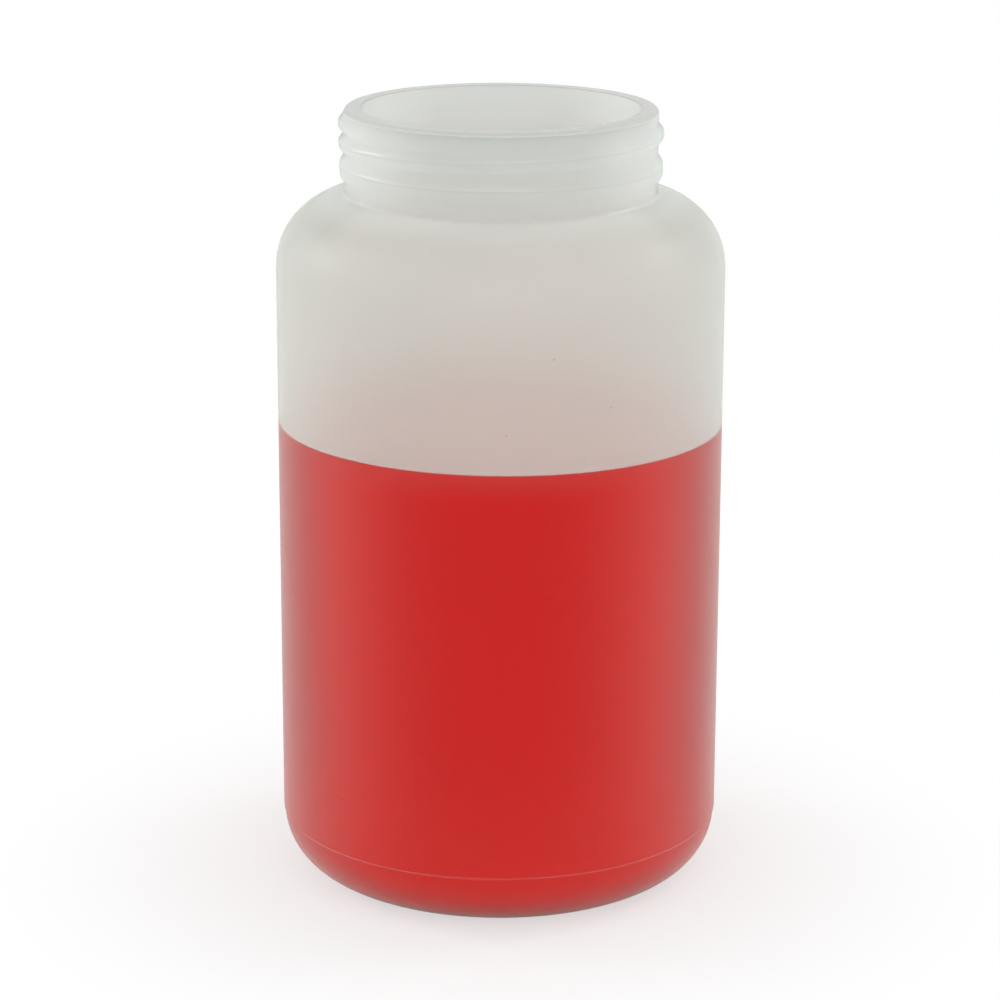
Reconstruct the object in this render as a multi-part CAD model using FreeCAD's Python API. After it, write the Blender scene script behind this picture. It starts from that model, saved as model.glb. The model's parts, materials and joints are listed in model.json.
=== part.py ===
import FreeCAD, Part
import math
import os

# Wide-mouth jar, blow-moulded in natural plastic, part-filled with a red liquid.
# Millimetres, +Z up. The origin is the centre of the circle that the jar stands on.
# An angle round the neck counts from the front (-Y) towards the right (+X).

# Body
overall_height = 169.4
body_diameter = 96.3
body_wall = 1.2
shoulder_radius = 15.6

# Heel and base
heel_radius = 13.0
heel_step = 0.25
heel_ridge_height = 0.35
standing_ring_width = 3.2
push_up_height = 4.2
push_up_slope_run = 3.4
base_wall = 1.8
weld_line_length = 48.0
weld_line_width = 0.9
weld_line_height = 0.5

# Neck and mouth. The mouth is straight under the rim and opens gently down to the neck's root.
neck_height = 18.5
neck_diameter = 66.9
neck_wall = 2.4
neck_root_chamfer = 0.6
mouth_diameter = 59.4
straight_mouth_depth = 8.0
rim_rounding = 1.1
mouth_chamfer = 0.4

# Ring bead under the thread
bead_depth = 9.9
bead_width = 5.8
bead_crest_width = 2.4
bead_height = 1.0

# Screw thread: right-hand, one start, six turns to the inch
thread_pitch = 25.4 / 6
thread_height = 1.15
thread_root_width = 4.1
thread_crest_width = 1.3
thread_front_depth = 6.4
thread_start_angle = -140.0
thread_end_angle = 280.0
thread_fade_angle = 28.0
thread_bite = 0.4
thread_sink_margin = 0.1
thread_path_step = 7.0

# Contents
liquid_level = 101.2

# A rounded stretch of the section is drawn in short chords of about this turn, in degrees
curve_chord_turn = 12.0
edge_chord_turn = 30.0

# Radii and heights that follow from the sizes above
body_radius = body_diameter / 2
cavity_radius = body_radius - body_wall
neck_radius = neck_diameter / 2
neck_bore_radius = neck_radius - neck_wall
mouth_radius = mouth_diameter / 2
neck_foot = overall_height - neck_height
heel_foot_radius = body_radius - heel_step - heel_radius
ring_inner_radius = heel_foot_radius - standing_ring_width
panel_radius = ring_inner_radius - push_up_slope_run

# The shoulder is an arc that leaves the wall upright and meets the foot of the neck.
shoulder_hub_radius = body_radius - shoulder_radius
shoulder_end_radius = max(neck_radius + neck_root_chamfer, shoulder_hub_radius)
shoulder_end_rise = math.sqrt(shoulder_radius ** 2 - (shoulder_end_radius - shoulder_hub_radius) ** 2)
shoulder_hub_height = neck_foot - shoulder_end_rise

up = FreeCAD.Vector(0, 0, 1)
origin = FreeCAD.Vector(0, 0, 0)


class Section:
    """A chain of edges in the plane of X and Z, where X is the radius and Z the height."""

    def __init__(self, radius, height):
        self.here = FreeCAD.Vector(radius, 0, height)
        self.edges = []

    def line_to(self, radius, height):
        end = FreeCAD.Vector(radius, 0, height)
        if self.here.distanceToPoint(end) > 1e-6:
            self.edges.append(Part.LineSegment(self.here, end).toShape())
            self.here = end

    def arc_to(self, radius, height, hub_radius, hub_height, chord_turn=curve_chord_turn):
        """An arc about a hub that is equally far from both ends, in chords of equal turn."""
        reach = math.hypot(radius - hub_radius, height - hub_height)
        first = math.atan2(self.here.z - hub_height, self.here.x - hub_radius)
        last = math.atan2(height - hub_height, radius - hub_radius)
        chords = math.ceil(math.degrees(abs(last - first)) / chord_turn)
        for chord in range(1, chords):
            turn = first + (last - first) * chord / chords
            self.line_to(hub_radius + reach * math.cos(turn), hub_height + reach * math.sin(turn))
        self.line_to(radius, height)

    def turned(self):
        """The solid that the closed chain sweeps when it turns about the axis."""
        return Part.Face(Part.Wire(self.edges)).revolve(origin, up, 360)


def draw_bead(section):
    """The ring round the neck under the thread: two slopes and a flat crest."""
    top = overall_height - bead_depth
    slope = (bead_width - bead_crest_width) / 2
    crest_radius = neck_radius + bead_height
    section.line_to(neck_radius, top - bead_width)
    section.line_to(crest_radius, top - bead_width + slope)
    section.line_to(crest_radius, top - slope)
    section.line_to(neck_radius, top)


def draw_outside(section):
    """The outer surface, from the middle of the push-up round to the mouth."""
    section.line_to(panel_radius, push_up_height)
    section.line_to(ring_inner_radius, 0)
    section.line_to(heel_foot_radius, 0)
    section.arc_to(body_radius - heel_step, heel_radius, heel_foot_radius, heel_radius)
    section.line_to(body_radius, heel_radius + heel_ridge_height)
    section.line_to(body_radius, shoulder_hub_height)
    section.arc_to(shoulder_end_radius, neck_foot, shoulder_hub_radius, shoulder_hub_height)
    section.line_to(neck_radius + neck_root_chamfer, neck_foot)
    section.line_to(neck_radius, neck_foot + neck_root_chamfer)
    draw_bead(section)
    rim_hub_radius = neck_radius - rim_rounding
    rim_hub_height = overall_height - rim_rounding
    section.line_to(neck_radius, rim_hub_height)
    section.arc_to(rim_hub_radius, overall_height, rim_hub_radius, rim_hub_height, edge_chord_turn)
    section.line_to(mouth_radius + mouth_chamfer, overall_height)
    section.line_to(mouth_radius, overall_height - mouth_chamfer)


def draw_inside(section):
    """The inner surface, from the mouth down to the middle of the floor."""
    hub_radius = max(shoulder_hub_radius, neck_bore_radius)
    ceiling = shoulder_hub_height + cavity_radius - hub_radius
    heel_hub_radius = cavity_radius - (heel_radius - body_wall)
    section.line_to(mouth_radius, overall_height - straight_mouth_depth)
    section.line_to(neck_bore_radius, ceiling)
    section.line_to(hub_radius, ceiling)
    section.arc_to(cavity_radius, shoulder_hub_height, hub_radius, shoulder_hub_height)
    section.line_to(cavity_radius, heel_radius)
    section.arc_to(heel_hub_radius, body_wall, heel_hub_radius, heel_radius)
    section.line_to(ring_inner_radius, body_wall)
    section.line_to(panel_radius, push_up_height + base_wall)
    section.line_to(0, push_up_height + base_wall)


def make_wall():
    """The blown wall with its heel, shoulder, neck, ring bead and rim."""
    section = Section(0, push_up_height)
    draw_outside(section)
    draw_inside(section)
    section.line_to(0, push_up_height)
    return section.turned()


def make_cavity():
    """The whole space inside the jar, up to the plane of the rim."""
    section = Section(0, overall_height)
    section.line_to(mouth_radius, overall_height)
    draw_inside(section)
    section.line_to(0, overall_height)
    return section.turned()


def thread_sunk(angle):
    """How far the thread has sunk into the neck at an angle: not at all between its two ends."""
    past_end = max(thread_start_angle - angle, angle - thread_end_angle, 0) / thread_fade_angle
    return (thread_height + thread_sink_margin) * (1 - math.cos(math.pi * past_end)) / 2


def make_thread_path(first_angle, last_angle):
    """The helix that the foot of the thread follows, pulled in towards its two ends."""
    steps = round((last_angle - first_angle) / thread_path_step)
    points = []
    for step in range(steps + 1):
        angle = first_angle + (last_angle - first_angle) * step / steps
        radius = neck_radius - thread_sunk(angle)
        height = overall_height - thread_front_depth + thread_pitch * angle / 360
        points.append(FreeCAD.Vector(radius * math.sin(math.radians(angle)),
                                     -radius * math.cos(math.radians(angle)), height))
    path = Part.BSplineCurve()
    path.interpolate(points)
    return Part.Wire([path.toShape()])


def make_thread():
    """A ridge swept up the neck. Each end fades by sinking into the wall."""
    first_angle = thread_start_angle - thread_fade_angle
    last_angle = thread_end_angle + thread_fade_angle
    foot = neck_radius - thread_sunk(first_angle)
    middle = overall_height - thread_front_depth + thread_pitch * first_angle / 360
    half_root = thread_root_width / 2
    half_crest = thread_crest_width / 2
    profile = Section(foot - thread_bite, middle - half_root)
    profile.line_to(foot, middle - half_root)
    profile.line_to(foot + thread_height, middle - half_crest)
    profile.line_to(foot + thread_height, middle + half_crest)
    profile.line_to(foot, middle + half_root)
    profile.line_to(foot - thread_bite, middle + half_root)
    profile.line_to(foot - thread_bite, middle - half_root)
    outline = Part.Wire(profile.edges)
    outline.rotate(origin, up, first_angle - 90)

    sweep = Part.BRepOffsetAPI.MakePipeShell(make_thread_path(first_angle, last_angle))
    sweep.setBiNormalMode(up)
    sweep.add(outline)
    sweep.build()
    sweep.makeSolid()
    return sweep.shape()


def make_weld_line():
    """The raised line that the closing mould leaves across the push-up, from left to right."""
    corner = FreeCAD.Vector(-weld_line_length / 2, -weld_line_width / 2,
                            push_up_height - weld_line_height)
    return Part.makeBox(weld_line_length, weld_line_width, weld_line_height + base_wall / 2, corner)


def make_jar_body():
    return make_wall().fuse([make_thread(), make_weld_line()]).removeSplitter()


def make_red_liquid():
    """The contents, against the inside of the wall from the floor up to the level."""
    return make_cavity().common(Part.makeCylinder(body_radius, liquid_level))


def main():
    os.makedirs("parts", exist_ok=True)
    parts = {"jar_body": make_jar_body(), "red_liquid": make_red_liquid()}
    for name, shape in parts.items():
        shape.exportStep("parts/" + name + ".step")
        box = shape.BoundBox
        print(name, len(shape.Solids), "solid, valid", shape.isValid(), ", mm3", round(shape.Volume),
              ", z", round(box.ZMin, 2), "to", round(box.ZMax, 2))


main()
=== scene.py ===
import json
import math

import bmesh
import bpy
from bpy.props import FloatProperty, FloatVectorProperty, IntProperty, PointerProperty
from mathutils import Euler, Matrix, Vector

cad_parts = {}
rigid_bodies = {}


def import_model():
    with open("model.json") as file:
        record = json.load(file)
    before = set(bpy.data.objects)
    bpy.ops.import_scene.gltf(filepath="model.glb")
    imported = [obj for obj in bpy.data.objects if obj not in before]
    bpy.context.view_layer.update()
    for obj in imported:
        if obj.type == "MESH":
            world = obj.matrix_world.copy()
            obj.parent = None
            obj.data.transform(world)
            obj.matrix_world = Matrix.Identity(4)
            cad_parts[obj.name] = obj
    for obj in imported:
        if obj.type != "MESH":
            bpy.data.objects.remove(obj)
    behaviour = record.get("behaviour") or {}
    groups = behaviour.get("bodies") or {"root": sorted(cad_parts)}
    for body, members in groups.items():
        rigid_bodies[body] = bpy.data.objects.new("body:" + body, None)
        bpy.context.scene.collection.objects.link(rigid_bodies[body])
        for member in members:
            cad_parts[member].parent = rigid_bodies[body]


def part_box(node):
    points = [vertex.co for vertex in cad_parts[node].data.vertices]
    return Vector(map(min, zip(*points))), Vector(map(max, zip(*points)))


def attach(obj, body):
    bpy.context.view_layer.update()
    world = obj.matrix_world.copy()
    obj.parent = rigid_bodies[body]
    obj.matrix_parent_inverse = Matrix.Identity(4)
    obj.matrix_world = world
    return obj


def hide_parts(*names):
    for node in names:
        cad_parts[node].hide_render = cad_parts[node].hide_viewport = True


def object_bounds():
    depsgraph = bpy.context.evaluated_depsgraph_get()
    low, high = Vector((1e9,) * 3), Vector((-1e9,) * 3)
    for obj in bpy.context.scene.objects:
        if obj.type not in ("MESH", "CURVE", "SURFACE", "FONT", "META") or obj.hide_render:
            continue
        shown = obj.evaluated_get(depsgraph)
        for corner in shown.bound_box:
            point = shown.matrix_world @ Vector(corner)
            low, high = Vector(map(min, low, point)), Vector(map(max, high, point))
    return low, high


bl_info = {
    "name": "Wide-mouth jar",
    "version": (1, 0, 0),
    "blender": (4, 5, 0),
    "location": "View3D > Sidebar > Jar",
    "description": "Dresses the packed jar: milky wall with its screw thread, red contents, pale studio",
    "category": "Object",
}

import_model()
cad_low, cad_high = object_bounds()
liquid_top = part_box("red_liquid")[1].z
body_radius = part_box("jar_body")[1].x
overall_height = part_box("jar_body")[1].z

MM = 0.001
DEGREE = math.pi / 180
JAR_BODY = "root"


# Sizes and colours that a user would change

def length(name, description, millimetres):
    return FloatProperty(name=name, description=description, default=millimetres * MM,
                         min=0.0, precision=5, unit="LENGTH", subtype="DISTANCE")


def turn(name, description, degrees):
    return FloatProperty(name=name, description=description, default=degrees * DEGREE,
                         unit="ROTATION", subtype="ANGLE")


def share(name, description, value):
    return FloatProperty(name=name, description=description, default=value,
                         min=0.0, max=1.0, subtype="FACTOR")


def power(name, description, watts):
    return FloatProperty(name=name, description=description, default=watts, min=0.0, unit="POWER")


def colour(name, description, value):
    return FloatVectorProperty(name=name, description=description, default=value,
                               size=3, min=0.0, max=1.0, subtype="COLOR")


class WallSizes(bpy.types.PropertyGroup):
    """The blown wall from its push-up to its rim."""
    body_wall: length("Body wall", "Thickness of the straight wall", 1.2)
    shoulder_radius: length("Shoulder radius", "Radius of the shoulder's arc", 15.6)
    heel_radius: length("Heel radius", "Radius of the rounded heel", 13.0)
    heel_step: length("Heel step", "How far the heel stands in from the wall", 0.25)
    heel_ridge: length("Heel ridge", "Height of the step between heel and wall", 0.35)
    ring_width: length("Standing ring width", "Width of the ring that the jar stands on", 3.2)
    push_up: length("Push-up", "How far the middle of the base stands up", 4.2)
    push_up_run: length("Push-up run", "How far in the push-up's slope runs", 3.4)
    base_wall: length("Base wall", "Thickness of the base", 1.8)
    weld_length: length("Weld line length", "Length of the closing line under the base", 48.0)
    weld_width: length("Weld line width", "Width of the closing line", 0.9)
    weld_height: length("Weld line height", "How far the closing line stands out", 0.5)
    segments: IntProperty(name="Segments", description="Steps round the jar",
                          default=240, min=24, max=360)


class NeckSizes(bpy.types.PropertyGroup):
    """The neck, its ring bead and its screw thread."""
    height: length("Neck height", "From the neck's root to the rim", 18.5)
    diameter: length("Neck diameter", "Outside the neck, between its ridges", 66.9)
    wall: length("Neck wall", "Thickness of the neck", 2.4)
    root_radius: length("Root radius", "Rounding between shoulder and neck", 0.8)
    mouth_diameter: length("Mouth diameter", "Inside the rim", 59.4)
    straight_depth: length("Straight mouth depth", "How deep the mouth goes straight down", 8.0)
    rim_rounding: length("Rim rounding", "Rounding of the rim's outer edge", 1.1)
    mouth_rounding: length("Mouth rounding", "Rounding of the rim's inner edge", 0.4)
    bead_depth: length("Bead depth", "From the rim down to the ring bead", 9.9)
    bead_width: length("Bead width", "Width of the ring bead at its foot", 5.8)
    bead_crest: length("Bead crest", "Width of the ring bead at its crest", 2.4)
    bead_height: length("Bead height", "How far the ring bead stands out", 1.0)
    thread_pitch: length("Thread pitch", "Rise of the thread in one turn", 25.4 / 6)
    thread_height: length("Thread height", "How far the thread stands out", 1.15)
    thread_root: length("Thread root width", "Width of the thread at its foot", 4.1)
    thread_crest: length("Thread crest width", "Width of the thread at its crest", 1.3)
    thread_depth: length("Thread depth", "From the rim to the thread's middle at the front", 6.4)
    thread_start: turn("Thread start", "Where the thread is full, from front to right", -140.0)
    thread_end: turn("Thread end", "Where the thread starts to fade, from front to right", 280.0)
    thread_fade: turn("Thread fade", "Turn over which the thread sinks into the neck", 28.0)
    crest_softness: length("Crest softness", "Rounding of the ridges' crests", 0.5)
    edge_softness: length("Edge softness", "Rounding at the feet of the ridges", 0.12)
    finish_overrun: length("Finish overrun", "How far the neck's milky inside goes past its root", 3.0)
    row_height: length("Row height", "Height of one row of faces on the neck", 0.12)


class LiquidLook(bpy.types.PropertyGroup):
    """The red contents."""
    colour: colour("Colour", "Colour straight behind the wall", (0.79, 0.001, 0.001))
    # Painted sheen: the liquid is paler where the wall is met at a slant
    slant_sheen_colour: colour("Slant sheen colour", "Colour behind the wall met at a slant", (0.82, 0.026, 0.022))
    # Painted shade: the liquid is darker where its side turns away from the eye
    limb_colour: colour("Limb colour", "Colour where the side turns away from the eye",
                        (0.58, 0.006, 0.005))
    # Painted light from below, near the base
    foot_light_colour: colour("Foot light colour", "Colour near the base, lit from below", (0.83, 0.020, 0.016))
    foot_height: length("Foot height", "How far up the foot colour reaches", 45.0)
    # Painted light through the free surface, just under the edge
    edge_light_colour: colour("Edge light colour", "Colour just under the edge, lit through the surface",
                        (0.76, 0.036, 0.033))
    edge_depth: length("Edge depth", "How far down the edge colour reaches", 5.5)
    surface_colour: colour("Surface colour", "Colour of the free surface", (0.78, 0.010, 0.009))
    meniscus_height: length("Meniscus height", "How far the liquid climbs the wall", 0.5)
    meniscus_width: length("Meniscus width", "How far from the wall the liquid bends up", 1.6)
    wetting: length("Wetting", "How far the liquid reaches into the wall's skin, as it wets it", 0.05)
    edge_row: length("Edge row", "Height of the last row of faces under the liquid's edge", 0.2)
    tilt: turn("Tilt", "Slope of the free surface, down to the right", 0.3)


class PlasticLook(bpy.types.PropertyGroup):
    """The milky natural plastic."""
    colour: colour("Colour", "Colour of the plastic", (0.92, 0.925, 0.91))
    haze_colour: colour("Haze colour", "Colour of the haze on the dry inner face", (0.885, 0.88, 0.85))
    rim_colour: colour("Rim colour", "Colour of the trimmed rim", (0.70, 0.715, 0.695))
    neck_colour: colour("Neck colour", "Colour of the neck's inside, seen through the plastic",
                        (0.84, 0.885, 0.87))
    # Painted light: the neck's inside is paler where it turns away from the eye
    neck_limb_light_colour: colour("Neck limb light colour", "That colour where the neck turns away from the eye",
                             (0.99, 1.0, 0.98))
    # Painted shade: the neck's inside is darker seen from the mouth, with painted light at its sides
    mouth_colour: colour("Mouth colour", "Colour of the neck's inside, seen from the mouth",
                         (0.76, 0.82, 0.79))
    mouth_limb_light_colour: colour("Mouth limb light colour", "That colour where it turns away from the eye",
                              (0.845, 0.915, 0.875))
    outer_roughness: share("Outer roughness", "Roughness of the moulded skin", 0.40)
    inner_roughness: share("Inner roughness", "Roughness of the dry inner face", 0.55)
    clarity: share("Clarity", "Share of light that passes the dry inner face", 0.35)
    neck_clarity: share("Neck clarity", "Share of light that passes the inside of the neck", 0.35)
    rim_clarity: share("Rim clarity", "Share of light that passes the rim", 0.2)
    bloom: share("Bloom", "Pale bloom of the skin where it turns away from the eye", 0.47)
    ridge_calm: share("Ridge calm", "How far scattered light evens out the ridges' shading", 0.6)


class StudioLook(bpy.types.PropertyGroup):
    """Floor, light and camera."""
    camera_distance: length("Camera distance", "From the camera to the jar's axis", 738.6)
    aim_height: length("Aim height", "Height on the axis that the camera looks at", 82.7)
    camera_pitch: turn("Camera pitch", "How far the camera looks down", 15.93)
    camera_roll: turn("Camera roll", "Turn of the camera about its own line of sight", 0.17)
    lens: FloatProperty(name="Lens", description="Focal length in millimetres on a 36 mm sensor",
                        default=121.45, unit="CAMERA")
    side_power: power("Side power", "Power of each side lamp", 1.4)
    front_power: power("Front power", "Power of the front lamp", 2.6)
    world_light: share("World light", "Strength of the even light from all round", 0.74)
    floor_radius: length("Floor radius", "Radius of the floor", 6000.0)
    floor_glow: share("Floor glow", "Share of plain white in the floor next to the jar", 0.6)
    fade_start: length("Fade start", "Distance from the jar where the floor starts to turn white", 45.0)
    fade_end: length("Fade end", "Distance from the jar where the floor is all white", 120.0)


# Outlines of turned pieces, as points of radius and height

OUTER_CHORD = 5 * DEGREE
INNER_CHORD = 7 * DEGREE
LIQUID_CHORD = 4 * DEGREE
LONGEST_FACE = 4.5 * MM
LONGEST_LIQUID_FACE = 3.5 * MM

# Marks on an outline's points for the finish that starts there
OUTSIDE, INSIDE, NECK, RIM = 0.0, 1.0, 2.0, 3.0


def rounded_line(corners, chord_turn):
    """The points of a line whose corners (radius, height, rounding) are rounded in short chords."""
    points = [Vector(corners[0][:2])]
    for before, (radius, height, rounding), after in zip(corners, corners[1:], corners[2:]):
        corner = Vector((radius, height))
        back = (Vector(before[:2]) - corner).normalized()
        onward = (Vector(after[:2]) - corner).normalized()
        turned = math.pi - back.angle(onward)
        if rounding <= 0 or turned < 1 * DEGREE:
            points.append(corner)
            continue
        reach = rounding * math.tan(turned / 2)
        hub = corner + (back + onward).normalized() * rounding / math.cos(turned / 2)
        start = corner + back * reach - hub
        side = 1 if back.x * onward.y - back.y * onward.x < 0 else -1
        chords = math.ceil(turned / chord_turn)
        for chord in range(chords + 1):
            angle = side * turned * chord / chords
            points.append(hub + Vector((start.x * math.cos(angle) - start.y * math.sin(angle),
                                        start.x * math.sin(angle) + start.y * math.cos(angle))))
    points.append(Vector(corners[-1][:2]))
    return points


def divided(points, longest):
    """The same line with no stretch longer than a given length."""
    result = [points[0]]
    for start, end in zip(points, points[1:]):
        steps = max(1, math.ceil((end - start).length / longest - 1e-6))
        result += [start.lerp(end, step / steps) for step in range(1, steps + 1)]
    return result


def smooth_least(a, b, blend):
    """The smaller of two numbers, with a rounded change from one to the other."""
    overlap = max(blend - abs(a - b), 0.0) / blend
    return min(a, b) - overlap ** 3 * blend / 6


def soft_ridge(offset, root, crest, height, crest_softness, foot_softness):
    """Height of a ridge with sloping sides at an offset from its middle."""
    slope = height / ((root - crest) / 2)
    rise = (root / 2 - abs(offset)) * slope
    return smooth_least(-smooth_least(-rise, 0.0, foot_softness), height, crest_softness)


def neck_points(neck, top, bottom):
    """The outside of the neck with its ring bead, in rows close enough for the thread."""
    rows = round((top - bottom) / neck.row_height)
    middle = overall_height - neck.bead_depth - neck.bead_width / 2
    points = []
    for row in range(rows + 1):
        height = bottom + (top - bottom) * row / rows
        bead = soft_ridge(height - middle, neck.bead_width, neck.bead_crest, neck.bead_height,
                          neck.crest_softness, neck.edge_softness)
        points.append(Vector((neck.diameter / 2 + bead, height)))
    return points


def ring_inner_radius(wall):
    """Inside the ring that the jar stands on."""
    return body_radius - wall.heel_step - wall.heel_radius - wall.ring_width


def shoulder_arc(wall, neck):
    """Radius and height of the shoulder's hub, and the radius where its arc meets the neck's root."""
    hub_radius = body_radius - wall.shoulder_radius
    end_radius = neck.diameter / 2 + neck.root_radius
    rise = math.sqrt(wall.shoulder_radius ** 2 - (end_radius - hub_radius) ** 2)
    return hub_radius, overall_height - neck.height - rise, end_radius


def outside_points(wall, neck):
    """The wall's outer line, from under the base to the neck's root."""
    ring_inner = ring_inner_radius(wall)
    neck_foot = overall_height - neck.height
    hub_radius, hub_height, end_radius = shoulder_arc(wall, neck)
    lean = (end_radius - hub_radius) / (neck_foot - hub_height)
    corners = [
        (0.0, wall.push_up, 0.0),
        (ring_inner - wall.push_up_run, wall.push_up, 1.2 * MM),
        (ring_inner, 0.0, 0.9 * MM),
        (body_radius - wall.heel_step, 0.0, wall.heel_radius - 0.02 * MM),
        (body_radius - wall.heel_step, wall.heel_radius, 0.05 * MM),
        (body_radius, wall.heel_radius + wall.heel_ridge, 0.1 * MM),
        (body_radius, neck_foot - (body_radius - end_radius) * lean, wall.shoulder_radius),
        (neck.diameter / 2, neck_foot + neck.root_radius * lean, neck.root_radius),
        (neck.diameter / 2, neck_foot + 2 * neck.root_radius, 0.0),
    ]
    return divided(rounded_line(corners, OUTER_CHORD), LONGEST_FACE)


def rim_corners(neck):
    """The corners of the rim, from the neck's outside over to the mouth."""
    outer = neck.diameter / 2
    mouth = neck.mouth_diameter / 2
    return [
        (outer, overall_height - 2 * neck.rim_rounding, 0.0),
        (outer, overall_height, neck.rim_rounding),
        (mouth, overall_height, neck.mouth_rounding),
    ]


def inside_corners(wall, neck):
    """The corners of the inner face, from the straight mouth down to the middle of the floor."""
    bore = neck.diameter / 2 - neck.wall
    mouth = neck.mouth_diameter / 2
    cavity = body_radius - wall.body_wall
    hub_radius, hub_height, _ = shoulder_arc(wall, neck)
    ceiling = hub_height + cavity - hub_radius
    ring_inner = ring_inner_radius(wall)
    return [
        (mouth, overall_height - neck.straight_depth, 5.0 * MM),
        (bore, ceiling, 1.0 * MM),
        (cavity, ceiling, cavity - hub_radius - 0.01 * MM),
        (cavity, wall.body_wall, wall.heel_radius - wall.body_wall),
        (ring_inner, wall.body_wall, 0.8 * MM),
        (ring_inner - wall.push_up_run, wall.push_up + wall.base_wall, 0.8 * MM),
        (0.0, wall.push_up + wall.base_wall, 0.0),
    ]


def outline_mesh(name, points, threaded, finishes):
    """A chain of vertices in the plane of X and Z, with marks for the thread and the finishes."""
    mesh = bpy.data.meshes.new(name)
    edges = [(index, index + 1) for index in range(len(points) - 1)]
    mesh.from_pydata([(point.x, 0.0, point.y) for point in points], edges, [])
    for mark, values in (("threaded", threaded), ("finish", finishes)):
        attribute = mesh.attributes.new(mark, "FLOAT", "POINT")
        attribute.data.foreach_set("value", values)
    return mesh


def wall_outline(wall, neck):
    """The wall's whole section, from under the base over the rim to the middle of the floor."""
    outside = outside_points(wall, neck)
    neck_rows = neck_points(neck, overall_height - 2 * neck.rim_rounding, outside[-1].y)
    over_rim = divided(rounded_line(rim_corners(neck) + inside_corners(wall, neck), INNER_CHORD),
                       LONGEST_FACE)
    points = outside[:-1] + neck_rows[:-1] + over_rim
    threaded = [0.0] * (len(outside) - 1) + [1.0] * (len(neck_rows) - 1)
    finishes = [OUTSIDE] * len(threaded)

    rim_edge = neck.diameter / 2 - neck.rim_rounding / 20
    mouth_edge = neck.mouth_diameter / 2 + neck.mouth_rounding / 20
    flat_edge = neck.diameter / 2 - neck.rim_rounding
    milky_down_to = overall_height - neck.height - neck.finish_overrun
    in_mouth = False
    for point in over_rim:
        in_mouth = in_mouth or point.x < mouth_edge
        threaded.append(0.0 if in_mouth or point.x < flat_edge else 1.0)
        if in_mouth:
            finishes.append(NECK if point.y > milky_down_to else INSIDE)
        else:
            finishes.append(RIM if point.x < rim_edge else OUTSIDE)
    return outline_mesh("jar_outline", points, threaded, finishes)


def liquid_outline(wall, look):
    """The liquid's section, from its foot up the wall and in along its free surface."""
    wetted = body_radius - wall.body_wall + look.wetting
    floor_height = wall.push_up + wall.base_wall
    ring_inner = ring_inner_radius(wall)
    side = rounded_line([
        (0.0, floor_height - look.wetting, 0.0),
        (ring_inner - wall.push_up_run, floor_height - look.wetting, 0.8 * MM),
        (ring_inner, wall.body_wall - look.wetting, 0.8 * MM),
        (wetted, wall.body_wall - look.wetting, wall.heel_radius - wall.body_wall),
        (wetted, liquid_top, 0.0),
    ], LIQUID_CHORD)
    below_edge = side[-1] - Vector((0.0, look.edge_row))
    side = divided(side[:-1] + [below_edge], LONGEST_LIQUID_FACE) + side[-1:]
    surface = []
    for step in range(1, 13):
        inward = look.meniscus_width * (step / 4) ** 1.5
        climb = look.meniscus_height * math.exp(-3 * inward / look.meniscus_width)
        surface.append(Vector((wetted - inward, liquid_top - look.meniscus_height + climb)))
    surface.append(Vector((0.0, liquid_top - look.meniscus_height)))
    surface = divided(surface, 4 * MM)
    points = side + surface
    finishes = [OUTSIDE] * (len(side) - 1) + [INSIDE] * (len(surface) + 1)
    return outline_mesh("liquid_outline", points, [0.0] * len(points), finishes)


# Node helpers

class NodeMaker:
    """Adds nodes to a tree and joins them, so that each call is one step."""

    def __init__(self, tree):
        self.tree = tree

    def node(self, kind, inputs=None, **settings):
        node = self.tree.nodes.new(kind)
        for name, value in settings.items():
            setattr(node, name, value)
        for key, value in (inputs or {}).items():
            self.put(value, node.inputs[key])
        return node

    def put(self, value, socket):
        if isinstance(value, bpy.types.NodeSocket):
            self.tree.links.new(value, socket)
        else:
            socket.default_value = value

    def math(self, operation, *values, clamp=False):
        node = self.node("ShaderNodeMath", operation=operation, use_clamp=clamp)
        for socket, value in zip(node.inputs, values):
            self.put(value, socket)
        return node.outputs[0]

    def vector(self, operation, *values):
        """A step of vector maths. A distance or a length comes out as a number."""
        node = self.node("ShaderNodeVectorMath", operation=operation)
        for socket, value in zip(node.inputs, values):
            self.put(value, socket)
        return node.outputs["Value" if operation in ("DISTANCE", "LENGTH") else "Vector"]

    def ramp(self, value, low, high, kind="LINEAR"):
        """Rises from 0 at one value to 1 at another."""
        node = self.node("ShaderNodeMapRange", {"Value": value, "From Min": low, "From Max": high},
                         interpolation_type=kind)
        return node.outputs[0]

    def near(self, distance, reach):
        """One at no distance, falling to nothing at the given reach."""
        return self.math("SUBTRACT", 1.0, self.math("DIVIDE", distance, reach), clamp=True)

    def blend(self, factor, first, second):
        """A blend of two colours, each a colour value or a socket."""
        node = self.node("ShaderNodeMix", {"Factor": factor}, data_type="RGBA")
        for socket, value in ((node.inputs[6], first), (node.inputs[7], second)):
            self.put(value if isinstance(value, bpy.types.NodeSocket) else (*value, 1.0), socket)
        return node.outputs[2]

    def turned_away(self, low, high, **normal):
        """Rises from 0 to 1 as the surface, or the normal given for it, turns away from the eye."""
        facing = self.node("ShaderNodeLayerWeight", {"Blend": 0.5, **normal}).outputs["Facing"]
        return self.ramp(facing, low, high)

    def place(self):
        return self.node("ShaderNodeTexCoord").outputs["Object"]

    def from_axis(self):
        """The way from the jar's axis straight out to the point."""
        return self.vector("MULTIPLY", self.place(), (1.0, 1.0, 0.0))


def emptied(owner):
    """A maker for the emptied node tree of a material or a world."""
    owner.use_nodes = True
    owner.node_tree.nodes.clear()
    return NodeMaker(owner.node_tree)


# The turned wall, made by geometry nodes

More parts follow.
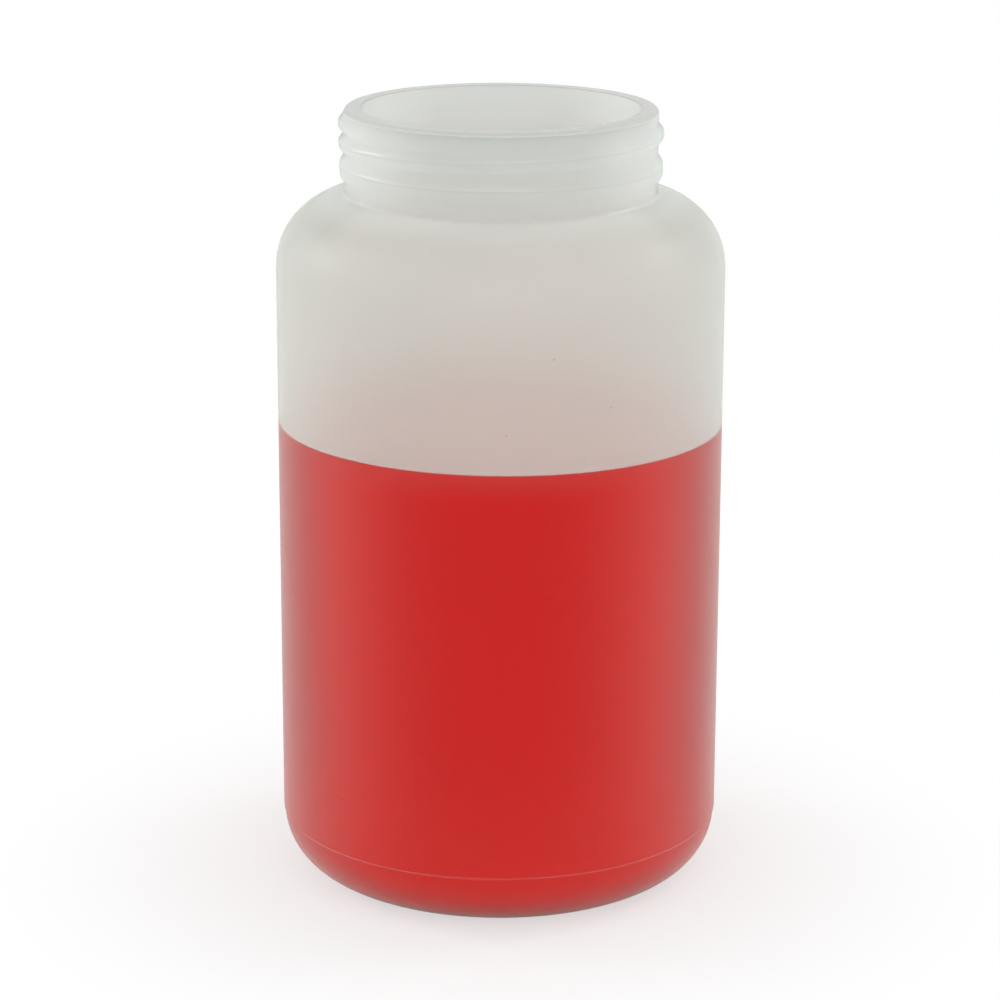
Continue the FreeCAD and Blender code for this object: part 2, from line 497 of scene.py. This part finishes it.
WALL_INPUTS = (
    ("Segments", "NodeSocketInt"),
    ("Neck top", "NodeSocketFloat"),
    ("Thread pitch", "NodeSocketFloat"),
    ("Thread height", "NodeSocketFloat"),
    ("Thread root width", "NodeSocketFloat"),
    ("Thread crest width", "NodeSocketFloat"),
    ("Thread depth", "NodeSocketFloat"),
    ("Thread start", "NodeSocketFloat"),
    ("Thread end", "NodeSocketFloat"),
    ("Thread fade", "NodeSocketFloat"),
    ("Crest softness", "NodeSocketFloat"),
    ("Edge softness", "NodeSocketFloat"),
    ("Outer material", "NodeSocketMaterial"),
    ("Inner material", "NodeSocketMaterial"),
    ("Neck material", "NodeSocketMaterial"),
    ("Rim material", "NodeSocketMaterial"),
)

# A faded end of the thread sinks by this many times the thread's height
SINK_DEPTH = 1.3


def thread_rise(make, given, angle, height):
    """How far the thread stands out at an angle and a height, for one pass of the helix."""
    climb = make.math("MULTIPLY", given["Thread pitch"], make.math("DIVIDE", angle, math.tau))
    start = make.math("SUBTRACT", given["Neck top"], given["Thread depth"])
    middle = make.math("ADD", start, climb)
    offset = make.math("ABSOLUTE", make.math("SUBTRACT", height, middle))
    half_root = make.math("MULTIPLY", given["Thread root width"], 0.5)
    half_crest = make.math("MULTIPLY", given["Thread crest width"], 0.5)
    flank = make.math("SUBTRACT", half_root, half_crest)
    share_up = make.math("DIVIDE", make.math("SUBTRACT", half_root, offset), flank)
    rise = make.math("MULTIPLY", share_up, given["Thread height"])
    crest = make.math("SMOOTH_MIN", rise, given["Thread height"], given["Crest softness"])
    before = make.math("SUBTRACT", given["Thread start"], angle)
    after = make.math("SUBTRACT", angle, given["Thread end"])
    past = make.math("DIVIDE", make.math("MAXIMUM", before, after), given["Thread fade"], clamp=True)
    wave = make.math("COSINE", make.math("MULTIPLY", past, math.pi))
    sunk_share = make.math("MULTIPLY_ADD", wave, -0.5, 0.5)
    sunk = make.math("MULTIPLY", sunk_share, make.math("MULTIPLY", given["Thread height"], SINK_DEPTH))
    return make.math("SMOOTH_MAX", make.math("SUBTRACT", crest, sunk), 0.0, given["Edge softness"])


def turned_wall_tree():
    """Spins an outline about Z and raises the screw thread on the marked rows."""
    tree = bpy.data.node_groups.new("Turned wall", "GeometryNodeTree")
    tree.is_modifier = True
    tree.interface.new_socket("Outline", in_out="INPUT", socket_type="NodeSocketGeometry")
    for name, kind in WALL_INPUTS:
        tree.interface.new_socket(name, in_out="INPUT", socket_type=kind)
    tree.interface.new_socket("Wall", in_out="OUTPUT", socket_type="NodeSocketGeometry")
    make = NodeMaker(tree)
    given = make.node("NodeGroupInput").outputs
    outline = given["Outline"]

    # One column of a grid for each step round the jar, and one row for each point of the outline
    rows = make.node("GeometryNodeAttributeDomainSize", {"Geometry": outline}).outputs["Point Count"]
    columns = make.math("ADD", given["Segments"], 1)
    grid = make.node("GeometryNodeMeshGrid", {"Vertices X": columns, "Vertices Y": rows})
    index = make.node("GeometryNodeInputIndex").outputs[0]
    column = make.math("FLOOR", make.math("DIVIDE", make.math("ADD", index, 0.5), rows))
    row = make.math("SUBTRACT", index, make.math("MULTIPLY", column, rows))

    def sampled(kind, value):
        node = make.node("GeometryNodeSampleIndex", data_type=kind, domain="POINT")
        make.put(outline, node.inputs["Geometry"])
        make.put(value, node.inputs["Value"])
        make.put(row, node.inputs["Index"])
        return node.outputs["Value"]

    def named(name):
        node = make.node("GeometryNodeInputNamedAttribute", {"Name": name}, data_type="FLOAT")
        return node.outputs["Attribute"]

    point = sampled("FLOAT_VECTOR", make.node("GeometryNodeInputPosition").outputs[0])
    parts = make.node("ShaderNodeSeparateXYZ", {0: point}).outputs
    height = parts["Z"]
    whole_turn = make.math("DIVIDE", column, given["Segments"])
    angle = make.math("MULTIPLY_ADD", whole_turn, math.tau, -math.pi)
    first_pass = thread_rise(make, given, angle, height)
    second_pass = thread_rise(make, given, make.math("ADD", angle, math.tau), height)
    rise = make.math("MAXIMUM", first_pass, second_pass)
    rise = make.math("MULTIPLY", rise, sampled("FLOAT", named("threaded")))
    radius = make.math("ADD", parts["X"], rise)
    across = make.math("MULTIPLY", radius, make.math("SINE", angle))
    away = make.math("MULTIPLY", radius, make.math("MULTIPLY", make.math("COSINE", angle), -1.0))
    position = make.node("ShaderNodeCombineXYZ", {0: across, 1: away, 2: height}).outputs[0]

    marked = make.node("GeometryNodeStoreNamedAttribute",
                       {"Geometry": grid.outputs["Mesh"], "Name": "finish",
                        "Value": sampled("FLOAT", named("finish"))},
                       data_type="FLOAT", domain="POINT").outputs[0]
    moved = make.node("GeometryNodeSetPosition", {"Geometry": marked, "Position": position}).outputs[0]
    closed = make.node("GeometryNodeMergeByDistance", {"Geometry": moved, "Distance": 0.001 * MM})
    smooth = make.node("GeometryNodeSetShadeSmooth", {"Geometry": closed.outputs[0]}).outputs[0]
    real = make.node("GeometryNodeRealizeInstances", {"Geometry": smooth}).outputs[0]
    dressed = make.node("GeometryNodeSetMaterial",
                        {"Geometry": real, "Material": given["Outer material"]}).outputs[0]
    finish = named("finish")
    for mark, name in ((INSIDE, "Inner material"), (NECK, "Neck material"), (RIM, "Rim material")):
        chosen = make.math("GREATER_THAN", finish, mark - 0.5)
        dressed = make.node("GeometryNodeSetMaterial",
                            {"Geometry": dressed, "Material": given[name],
                             "Selection": chosen}).outputs[0]
    make.node("NodeGroupOutput", {0: dressed})
    return tree


def spin(name, outline, settings):
    """Runs the turned-wall nodes on an outline and keeps the result as a plain mesh."""
    tree = bpy.data.node_groups.get("Turned wall") or turned_wall_tree()
    piece = bpy.data.objects.new(name, outline)
    bpy.context.scene.collection.objects.link(piece)
    modifier = piece.modifiers.new("Turned wall", "NODES")
    modifier.node_group = tree
    for socket in tree.interface.items_tree:
        if socket.in_out == "INPUT" and socket.name in settings:
            modifier[socket.identifier] = settings[socket.name]
    evaluated = piece.evaluated_get(bpy.context.evaluated_depsgraph_get())
    mesh = bpy.data.meshes.new_from_object(evaluated)
    piece.modifiers.remove(modifier)
    piece.data = mesh
    mesh.name = name
    return piece


# Plastic

# Specks in the skin: degrees from the front to the right, then radius, height and size in millimetres
SPECKS = (
    (-64.2, 35.0, 150.8, 0.60),
    (-64.6, 35.4, 150.7, 0.60),
    (13.0, 48.15, 125.6, 0.32),
    (28.0, 48.15, 114.5, 0.28),
    (1.5, 48.15, 110.0, 0.26),
    (-44.0, 48.15, 26.0, 0.25),
    (70.0, 48.15, 62.0, 0.25),
)
SPECK_COLOUR = (0.30, 0.32, 0.27)

# Slow changes of colour from cool to warm, as shares of the plastic's colour
COOL_SHARE = (0.985, 1.0, 0.985)
WARM_SHARE = (1.0, 0.985, 0.975)

# Grain, waves and parting line of the skin
GRAIN_SIZE = 0.6 * MM
GRAIN_HEIGHT = 0.006 * MM
WAVE_SIZE = 30 * MM
WAVE_HEIGHT = 0.25 * MM
WAVE_ROUGHNESS = 0.12
PARTING_HALF_WIDTH = 0.25 * MM
PARTING_HEIGHT = 0.05 * MM

# Shiny lines along the moulded edges, as half their width and their strength
HEEL_LINE = (0.75 * MM, 0.16)
ROOT_LINE = (0.35 * MM, 0.7)
BEAD_LINE = (0.25 * MM, 1.0)
THREAD_LINE = (0.22 * MM, 0.8)

# A line of painted shade runs this far under a ridge's shiny one
SHADE_DROP = 0.5 * MM
SHADE_LINE = (0.3 * MM, 0.6)
SHADE_COLOUR = (0.60, 0.61, 0.57)

# Painted light: the plastic is paler at the neck's sides and just under its root
NECK_SIDE_LIGHT_COLOUR = (1.0, 1.0, 1.0)
ROOT_LIGHT_COLOUR = (1.0, 0.98, 0.95)
ROOT_LIGHT_BAND = (4 * MM, 1.0)

# Painted shade along the trimmed edges of the rim
RIM_SHADE_WIDTH = 0.35 * MM
RIM_SHADE_COLOUR = (0.45, 0.46, 0.44)


def speck_mask(make, place):
    """One at the middle of each speck and nothing outside it."""
    mask = 0.0
    for degrees, radius, height, size in SPECKS:
        angle = degrees * DEGREE
        spot = Vector((radius * math.sin(angle), -radius * math.cos(angle), height)) * MM
        apart = make.vector("DISTANCE", place, spot)
        mask = make.math("MAXIMUM", mask, make.near(apart, size * MM))
    return mask


def moulded_surface_group():
    """Grain, slow waves, parting line and specks, as a height, a roughness and two masks."""
    tree = bpy.data.node_groups.get("Moulded surface")
    if tree:
        return tree
    tree = bpy.data.node_groups.new("Moulded surface", "ShaderNodeTree")
    for name, value in (("Grain size", GRAIN_SIZE), ("Wave size", WAVE_SIZE), ("Roughness", 0.4)):
        socket = tree.interface.new_socket(name, in_out="INPUT", socket_type="NodeSocketFloat")
        socket.default_value = value
    for name in ("Height", "Roughness", "Tint", "Speck"):
        tree.interface.new_socket(name, in_out="OUTPUT", socket_type="NodeSocketFloat")
    make = NodeMaker(tree)
    given = make.node("NodeGroupInput").outputs
    place = make.place()

    def noise(size, detail):
        scale = make.math("DIVIDE", 1.0, size)
        return make.node("ShaderNodeTexNoise", {"Vector": place, "Scale": scale,
                                                "Detail": detail}).outputs[0]

    grain = noise(given["Grain size"], 2.0)
    wave = noise(given["Wave size"], 1.0)
    off_parting = make.math("ABSOLUTE", make.node("ShaderNodeSeparateXYZ", {0: place}).outputs["Y"])
    parting = make.near(off_parting, PARTING_HALF_WIDTH)
    height = make.math("ADD", make.math("MULTIPLY", grain, GRAIN_HEIGHT),
                       make.math("MULTIPLY", wave, WAVE_HEIGHT))
    height = make.math("ADD", height, make.math("MULTIPLY", parting, PARTING_HEIGHT))
    swing = make.math("MULTIPLY_ADD", wave, WAVE_ROUGHNESS, -WAVE_ROUGHNESS / 2)
    rough = make.math("ADD", given["Roughness"], swing)
    make.node("NodeGroupOutput", {"Height": height, "Roughness": rough, "Tint": wave,
                                 "Speck": speck_mask(make, place)})
    return tree


def plastic_material(name, roughness, transmission, colour_value, bloom=0.0, mouth=None):
    """Milky plastic. Mouth holds painted colours for the neck's inside: seen from the mouth, darker
    (painted shade); the same at its sides, paler (painted light); and seen through the wall at its
    sides, paler (painted light)."""
    material = bpy.data.materials.new(name)
    make = emptied(material)
    surface = make.node("ShaderNodeGroup", node_tree=moulded_surface_group())
    surface.inputs["Roughness"].default_value = roughness
    cool = [part * kept for part, kept in zip(colour_value, COOL_SHARE)]
    warm = [part * kept for part, kept in zip(colour_value, WARM_SHARE)]
    tint = make.blend(surface.outputs["Tint"], cool, warm)
    tint = make.blend(surface.outputs["Speck"], tint, SPECK_COLOUR)
    # Painted shade seen from the mouth and painted light where the neck's inside turns away
    if mouth:
        front, front_limb_light, behind_limb_light = mouth
        seen_through = make.node("ShaderNodeNewGeometry").outputs["Backfacing"]
        away = make.turned_away(0.12, 0.5)
        tint = make.blend(seen_through, front, tint)
        tint = make.blend(away, tint, make.blend(seen_through, front_limb_light, behind_limb_light))
    bump = make.node("ShaderNodeBump", {"Height": surface.outputs["Height"], "Distance": 1.0,
                                        "Strength": 0.6})
    shader = make.node("ShaderNodeBsdfPrincipled", {
        "Base Color": tint, "Roughness": surface.outputs["Roughness"], "Normal": bump.outputs[0],
        "Transmission Weight": transmission, "IOR": 1.25, "Sheen Weight": bloom,
        "Sheen Roughness": 0.5, "Sheen Tint": (0.88, 1.0, 0.93, 1.0),
    })
    make.node("ShaderNodeOutputMaterial", {"Surface": shader.outputs[0]})
    return material


def edge_lines_group():
    """Masks round the moulded edges.

    Shine is the fine lines along the edges and Shade the painted shade lines under the ridges. Neck
    is all above the neck's root, Root the band round it where light is painted, and Shoulder the
    slope below it, on whose sides shade is painted.
    """
    tree = bpy.data.node_groups.new("Edge lines", "ShaderNodeTree")
    for name in ("Heel level", "Root level", "Bead level", "Thread level", "Pitch", "Start", "End"):
        tree.interface.new_socket(name, in_out="INPUT", socket_type="NodeSocketFloat")
    for name in ("Shine", "Shade", "Neck", "Root", "Shoulder"):
        tree.interface.new_socket(name, in_out="OUTPUT", socket_type="NodeSocketFloat")
    make = NodeMaker(tree)
    given = make.node("NodeGroupInput").outputs
    parts = make.node("ShaderNodeSeparateXYZ", {0: make.place()}).outputs

    def line(level, below, half_width, strength):
        offset = make.math("ADD", make.math("SUBTRACT", parts["Z"], level), below)
        return make.math("MULTIPLY", make.near(make.math("ABSOLUTE", offset), half_width), strength)

    angle = make.math("ARCTAN2", parts["X"], make.math("MULTIPLY", parts["Y"], -1.0))
    climb = make.math("MULTIPLY", make.math("DIVIDE", angle, math.tau), given["Pitch"])
    first = make.math("ADD", given["Thread level"], climb)
    second = make.math("ADD", first, given["Pitch"])
    on_first = make.math("GREATER_THAN", angle, given["Start"])
    on_second = make.math("LESS_THAN", angle, make.math("SUBTRACT", given["End"], math.tau))
    shine = make.math("MAXIMUM", line(given["Heel level"], 0.0, *HEEL_LINE),
                      line(given["Root level"], 0.0, *ROOT_LINE))
    shine = make.math("MAXIMUM", shine, line(given["Bead level"], 0.0, *BEAD_LINE))
    # Painted shade lines under the bead and the thread
    shade = line(given["Bead level"], SHADE_DROP, *SHADE_LINE)
    for level, gate in ((first, on_first), (second, on_second)):
        bright = make.math("MULTIPLY", line(level, 0.0, *THREAD_LINE), gate)
        dark = make.math("MULTIPLY", line(level, SHADE_DROP, *SHADE_LINE), gate)
        shine = make.math("MAXIMUM", shine, bright)
        shade = make.math("MAXIMUM", shade, dark)

    above_root = make.math("SUBTRACT", parts["Z"], given["Root level"])
    neck = make.math("DIVIDE", above_root, 1 * MM, clamp=True)
    # The shoulder's slope, on whose sides shade is painted
    risen = make.math("DIVIDE", make.math("ADD", above_root, 14 * MM), 10 * MM, clamp=True)
    shoulder = make.math("MULTIPLY", risen, make.math("LESS_THAN", above_root, 0.0))
    # The band round the root, where light is painted
    root = line(given["Root level"], 0.5 * MM, *ROOT_LIGHT_BAND)
    make.node("NodeGroupOutput", {"Shine": shine, "Shade": shade, "Neck": neck, "Root": root,
                                 "Shoulder": shoulder})
    return tree


def node_of_type(material, kind):
    return next(node for node in material.node_tree.nodes if node.type == kind)


def shine_and_paint_light_and_shade_outside(material, wall, neck, ridge_calm):
    """Shiny coat lines along the moulded edges and even shading of the ridges, with painted shade
    under the ridges and on the shoulder's sides, and painted light at the neck's sides and under its
    root.
    """
    make = NodeMaker(material.node_tree)
    shader = node_of_type(material, "BSDF_PRINCIPLED")
    masks = make.node("ShaderNodeGroup", node_tree=edge_lines_group())
    for name, value in (
            ("Heel level", wall.heel_radius + wall.heel_ridge / 2),
            ("Root level", overall_height - neck.height + 0.3 * MM),
            ("Bead level", overall_height - neck.bead_depth - (neck.bead_width - neck.bead_crest) / 2),
            ("Thread level", overall_height - neck.thread_depth + neck.thread_crest / 2),
            ("Pitch", neck.thread_pitch), ("Start", neck.thread_start), ("End", neck.thread_end)):
        masks.inputs[name].default_value = value
    masks = masks.outputs
    make.put(masks["Shine"], shader.inputs["Coat Weight"])
    shader.inputs["Coat Roughness"].default_value = 0.3
    shader.inputs["Coat IOR"].default_value = 2.0

    # The way out from the axis, turned to the side that the light meets
    skin = make.node("ShaderNodeNewGeometry").outputs
    side_met = make.math("MULTIPLY_ADD", skin["Backfacing"], -2.0, 1.0)
    outward = make.node("ShaderNodeVectorMath", {0: make.vector("NORMALIZE", make.from_axis()),
                                                 "Scale": side_met}, operation="SCALE").outputs[0]

    base = shader.inputs["Base Color"].links[0].from_socket
    # Painted light at the neck's sides
    neck_side_light = make.math("MULTIPLY", make.turned_away(0.05, 0.55, Normal=outward), masks["Neck"])
    base = make.blend(neck_side_light, base, NECK_SIDE_LIGHT_COLOUR)
    # Painted light in a band just under the neck's root
    base = make.blend(masks["Root"], base, ROOT_LIGHT_COLOUR)
    # Painted shade on the shoulder's sides, mixed with the painted shade lines under the ridges
    shoulder_shade = make.turned_away(0.32, 0.52, Normal=outward)
    painted_shade = make.math("MAXIMUM", masks["Shade"],
                       make.math("MULTIPLY", shoulder_shade, masks["Shoulder"]))
    painted_shade = make.math("MULTIPLY", painted_shade, 0.5)
    make.put(make.blend(painted_shade, base, SHADE_COLOUR), shader.inputs["Base Color"])

    # On the neck the normal that the bump starts from is eased towards the way out
    calm = make.node("ShaderNodeMix", {"Factor": make.math("MULTIPLY", masks["Neck"], ridge_calm)},
                     data_type="VECTOR")
    make.put(skin["Normal"], calm.inputs[4])
    make.put(outward, calm.inputs[5])
    bump = node_of_type(material, "BUMP")
    make.put(make.vector("NORMALIZE", calm.outputs[1]), bump.inputs["Normal"])


def paint_rim_edge_shade(material, neck):
    """Paints shade on the rim's trimmed edges as two fine darker rings."""
    make = NodeMaker(material.node_tree)
    shader = node_of_type(material, "BSDF_PRINCIPLED")
    radius = make.vector("LENGTH", make.from_axis())
    mouth_ring = neck.mouth_diameter / 2 + 0.1 * MM
    outer_ring = neck.diameter / 2 - 0.3 * MM
    rings = 0.0
    for ring_radius, strength in ((mouth_ring, 0.45), (outer_ring, 0.2)):
        apart = make.math("ABSOLUTE", make.math("SUBTRACT", radius, ring_radius))
        ring = make.math("MULTIPLY", make.near(apart, RIM_SHADE_WIDTH), strength)
        rings = make.math("MAXIMUM", rings, ring)
    base = shader.inputs["Base Color"].links[0].from_socket
    make.put(make.blend(rings, base, RIM_SHADE_COLOUR), shader.inputs["Base Color"])


# Liquid

def liquid_material(name, look, side):
    """Red liquid: matt where it wets the wall (side), shiny at its free surface."""
    material = bpy.data.materials.new(name)
    make = emptied(material)
    place = make.place()
    cloud = make.node("ShaderNodeTexNoise", {"Vector": place, "Scale": 18.0, "Detail": 1.0}).outputs[0]
    base = look.colour if side else look.surface_colour
    tint = make.blend(cloud, [part * 0.97 for part in base], base)
    if side:
        height = make.node("ShaderNodeSeparateXYZ", {0: place}).outputs["Z"]
        # Painted sheen: paler where the side is met at a slant
        tint = make.blend(make.turned_away(0.03, 0.22), tint, look.slant_sheen_colour)
        # Painted light just under the edge
        painted_edge_light = make.ramp(height, liquid_top - look.edge_depth, liquid_top)
        tint = make.blend(painted_edge_light, tint, look.edge_light_colour)
        # Painted light from below near the base, which also weakens the painted shade at the limb there
        painted_foot_light = make.ramp(height, look.foot_height, 0.0, "SMOOTHSTEP")
        tint = make.blend(painted_foot_light, tint, look.foot_light_colour)
        # Painted shade where the side turns away from the eye, weaker near the base
        limb = make.math("MULTIPLY", make.turned_away(0.24, 0.36),
                         make.math("MULTIPLY_ADD", painted_foot_light, -0.6, 1.0))
        tint = make.blend(limb, tint, look.limb_colour)
    shader = make.node("ShaderNodeBsdfPrincipled", {
        "Base Color": tint, "Roughness": 0.6 if side else 0.08, "IOR": 1.333,
        "Specular IOR Level": 0.0 if side else 0.5,
    })
    make.node("ShaderNodeOutputMaterial", {"Surface": shader.outputs[0]})
    return material


# Floor and light

# Soft lamps: name, place, width and height, and the setting that holds the power
LAMPS = (
    ("left_softbox", (-0.76, 0.26, 0.42), (0.3, 0.3), "side_power"),
    ("right_softbox", (0.72, 0.24, 0.60), (0.3, 0.3), "side_power"),
    ("front_softbox", (0.0, -1.2, 0.5), (1.2, 0.8), "front_power"),
)
FLOOR_COLOUR = (0.94, 0.94, 0.94, 1.0)
WHITE = (1.0, 1.0, 1.0, 1.0)


def ray_masks(make):
    """Masks of what the camera sees straight, and of what it sees in or through a surface."""
    path = make.node("ShaderNodeLightPath").outputs
    return path["Is Camera Ray"], make.math("MAXIMUM", path["Is Glossy Ray"], path["Is Transmission Ray"])


def floor_material(studio):
    """White floor that keeps the jar's shadow near it and is plain white to the camera further off."""
    material = bpy.data.materials.new("pale_floor")
    make = emptied(material)
    matt = make.node("ShaderNodeBsdfDiffuse", {"Color": FLOOR_COLOUR})
    glow = make.node("ShaderNodeEmission", {"Color": WHITE, "Strength": 1.0})
    distance = make.vector("LENGTH", make.place())
    fade = make.ramp(distance, studio.fade_start, studio.fade_end, "SMOOTHSTEP")
    lifted = make.math("MULTIPLY_ADD", fade, 1.0 - studio.floor_glow, studio.floor_glow)
    straight, indirect = ray_masks(make)
    white_share = make.math("MAXIMUM", make.math("MULTIPLY", lifted, straight),
                            make.math("MULTIPLY", fade, indirect))
    mixed = make.node("ShaderNodeMixShader", {0: white_share, 1: matt.outputs[0], 2: glow.outputs[0]})
    make.node("ShaderNodeOutputMaterial", {"Surface": mixed.outputs[0]})
    return material


def studio_world(studio):
    """Even light from all round, which is plain white wherever it is seen."""
    world = bpy.data.worlds.new("studio")
    make = emptied(world)
    straight, indirect = ray_masks(make)
    strength = make.node("ShaderNodeMix", {"Factor": make.math("MAXIMUM", straight, indirect),
                                           "A": studio.world_light, "B": 1.0}, data_type="FLOAT")
    glow = make.node("ShaderNodeBackground", {"Color": WHITE, "Strength": strength.outputs[0]})
    make.node("ShaderNodeOutputWorld", {"Surface": glow.outputs[0]})
    return world


def softbox(name, place, aim, size, watts):
    """A rectangular lamp that the camera doesn't see."""
    data = bpy.data.lights.new(name, "AREA")
    data.shape = "RECTANGLE"
    data.size, data.size_y = size
    data.energy = watts
    lamp = bpy.data.objects.new(name, data)
    lamp.location = place
    lamp.rotation_euler = (Vector(aim) - Vector(place)).to_track_quat("-Z", "Y").to_euler()
    lamp.visible_camera = False
    return lamp


def studio_camera(studio):
    """The camera at the photograph's viewing angle."""
    data = bpy.data.cameras.new("camera")
    data.lens = studio.lens
    data.sensor_width = 36.0
    data.clip_start = 0.05
    data.clip_end = 50.0
    camera = bpy.data.objects.new("camera", data)
    pitch = studio.camera_pitch
    reach = studio.camera_distance
    camera.location = (0.0, -reach * math.cos(pitch), studio.aim_height + reach * math.sin(pitch))
    upright = Euler((math.pi / 2 - pitch, 0.0, 0.0)).to_matrix()
    rolled = Euler((0.0, 0.0, studio.camera_roll)).to_matrix()
    camera.rotation_euler = (upright @ rolled).to_euler()
    return camera


# Operators

def settle(piece, node):
    """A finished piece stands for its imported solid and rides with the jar."""
    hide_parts(node)
    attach(piece, JAR_BODY)


class JAR_OT_build_wall(bpy.types.Operator):
    """Builds the blown wall with its heel, shoulder, neck, ring bead and screw thread"""
    bl_idname = "jar.build_wall"
    bl_label = "Build the wall"

    def execute(self, context):
        wall = context.scene.jar_wall
        neck = context.scene.jar_neck
        look = context.scene.jar_plastic
        outer_finish = plastic_material("milky_plastic_outside", look.outer_roughness, 1.0,
                                        look.colour, bloom=look.bloom)
        shine_and_paint_light_and_shade_outside(outer_finish, wall, neck, look.ridge_calm)
        inner_finish = plastic_material("milky_plastic_inside", look.inner_roughness, look.clarity,
                                        look.haze_colour)
        # Painted shade and painted light for the neck's inside
        mouth_colours = (look.mouth_colour, look.mouth_limb_light_colour, look.neck_limb_light_colour)
        neck_finish = plastic_material("milky_plastic_neck", look.inner_roughness,
                                       look.neck_clarity, look.neck_colour, mouth=mouth_colours)
        rim_finish = plastic_material("milky_plastic_rim", look.inner_roughness, look.rim_clarity,
                                      look.rim_colour)
        paint_rim_edge_shade(rim_finish, neck)
        piece = spin("jar", wall_outline(wall, neck), {
            "Segments": wall.segments, "Neck top": overall_height,
            "Thread pitch": neck.thread_pitch, "Thread height": neck.thread_height,
            "Thread root width": neck.thread_root, "Thread crest width": neck.thread_crest,
            "Thread depth": neck.thread_depth, "Thread start": neck.thread_start,
            "Thread end": neck.thread_end, "Thread fade": neck.thread_fade,
            "Crest softness": neck.crest_softness, "Edge softness": neck.edge_softness,
            "Outer material": outer_finish, "Inner material": inner_finish,
            "Neck material": neck_finish, "Rim material": rim_finish,
        })
        settle(piece, "jar_body")
        return {"FINISHED"}


class JAR_OT_add_weld_line(bpy.types.Operator):
    """Adds the raised line that the closing mould leaves across the push-up"""
    bl_idname = "jar.add_weld_line"
    bl_label = "Add the weld line"

    def execute(self, context):
        wall = context.scene.jar_wall
        look = context.scene.jar_plastic
        low = wall.push_up - wall.weld_height
        high = wall.push_up + wall.base_wall / 2
        shape = bmesh.new()
        bmesh.ops.create_cube(shape, size=1.0)
        for vertex in shape.verts:
            vertex.co.x *= wall.weld_length
            vertex.co.y *= wall.weld_width
            vertex.co.z = low + (vertex.co.z + 0.5) * (high - low)
        bmesh.ops.bevel(shape, geom=shape.edges, offset=wall.weld_width / 4, segments=3,
                        profile=0.5, affect="EDGES")
        mesh = bpy.data.meshes.new("weld_line")
        shape.to_mesh(mesh)
        shape.free()
        finish = plastic_material("milky_plastic_weld", look.outer_roughness, 1.0, look.colour)
        mesh.materials.append(finish)
        piece = bpy.data.objects.new("weld_line", mesh)
        context.scene.collection.objects.link(piece)
        settle(piece, "jar_body")
        return {"FINISHED"}


class JAR_OT_fill_liquid(bpy.types.Operator):
    """Fills the jar with the red liquid up to its level"""
    bl_idname = "jar.fill_liquid"
    bl_label = "Fill with liquid"

    def execute(self, context):
        wall = context.scene.jar_wall
        look = context.scene.jar_liquid
        against_wall = liquid_material("red_liquid_against_wall", look, True)
        free_surface = liquid_material("red_liquid_surface", look, False)
        piece = spin("liquid", liquid_outline(wall, look), {
            "Segments": wall.segments, "Outer material": against_wall,
            "Inner material": free_surface, "Neck material": free_surface,
            "Rim material": free_surface,
        })
        for vertex in piece.data.vertices:
            if vertex.co.z > liquid_top - 2 * look.meniscus_height:
                vertex.co.z -= vertex.co.x * math.tan(look.tilt)
        settle(piece, "red_liquid")
        return {"FINISHED"}


class JAR_OT_set_stage(bpy.types.Operator):
    """Sets the pale floor, the soft studio light and the camera"""
    bl_idname = "jar.set_stage"
    bl_label = "Set the stage"

    def execute(self, context):
        studio = context.scene.jar_studio
        objects = context.scene.collection.objects
        mesh = bpy.data.meshes.new("floor")
        shape = bmesh.new()
        bmesh.ops.create_circle(shape, cap_ends=True, segments=96, radius=studio.floor_radius)
        shape.to_mesh(mesh)
        shape.free()
        mesh.materials.append(floor_material(studio))
        floor = bpy.data.objects.new("floor", mesh)
        floor.location.z = cad_low.z
        objects.link(floor)

        middle = (0.0, 0.0, overall_height / 2)
        for name, place, size, setting in LAMPS:
            objects.link(softbox(name, place, middle, size, getattr(studio, setting)))
        context.scene.world = studio_world(studio)
        camera = studio_camera(studio)
        objects.link(camera)
        context.scene.camera = camera
        context.scene.view_settings.view_transform = "Standard"
        return {"FINISHED"}


class JAR_PT_sidebar(bpy.types.Panel):
    """Lists the sizes and the steps"""
    bl_idname = "JAR_PT_sidebar"
    bl_label = "Wide-mouth jar"
    bl_space_type = "VIEW_3D"
    bl_region_type = "UI"
    bl_category = "Jar"

    def draw(self, context):
        for operator in OPERATORS:
            self.layout.operator(operator.bl_idname)
        for name, group in SETTINGS.items():
            box = self.layout.box()
            for field in group.__annotations__:
                box.prop(getattr(context.scene, name), field)


SETTINGS = {
    "jar_wall": WallSizes,
    "jar_neck": NeckSizes,
    "jar_plastic": PlasticLook,
    "jar_liquid": LiquidLook,
    "jar_studio": StudioLook,
}
OPERATORS = (JAR_OT_build_wall, JAR_OT_add_weld_line, JAR_OT_fill_liquid, JAR_OT_set_stage)


def register():
    for group in (*SETTINGS.values(), *OPERATORS, JAR_PT_sidebar):
        bpy.utils.register_class(group)
    for name, group in SETTINGS.items():
        setattr(bpy.types.Scene, name, PointerProperty(type=group))


def unregister():
    for name in SETTINGS:
        delattr(bpy.types.Scene, name)
    for group in (JAR_PT_sidebar, *reversed(OPERATORS), *reversed(list(SETTINGS.values()))):
        bpy.utils.unregister_class(group)


def main():
    register()
    bpy.ops.jar.build_wall()
    bpy.ops.jar.add_weld_line()
    bpy.ops.jar.fill_liquid()
    bpy.ops.jar.set_stage()


if __name__ == "__main__":
    main()
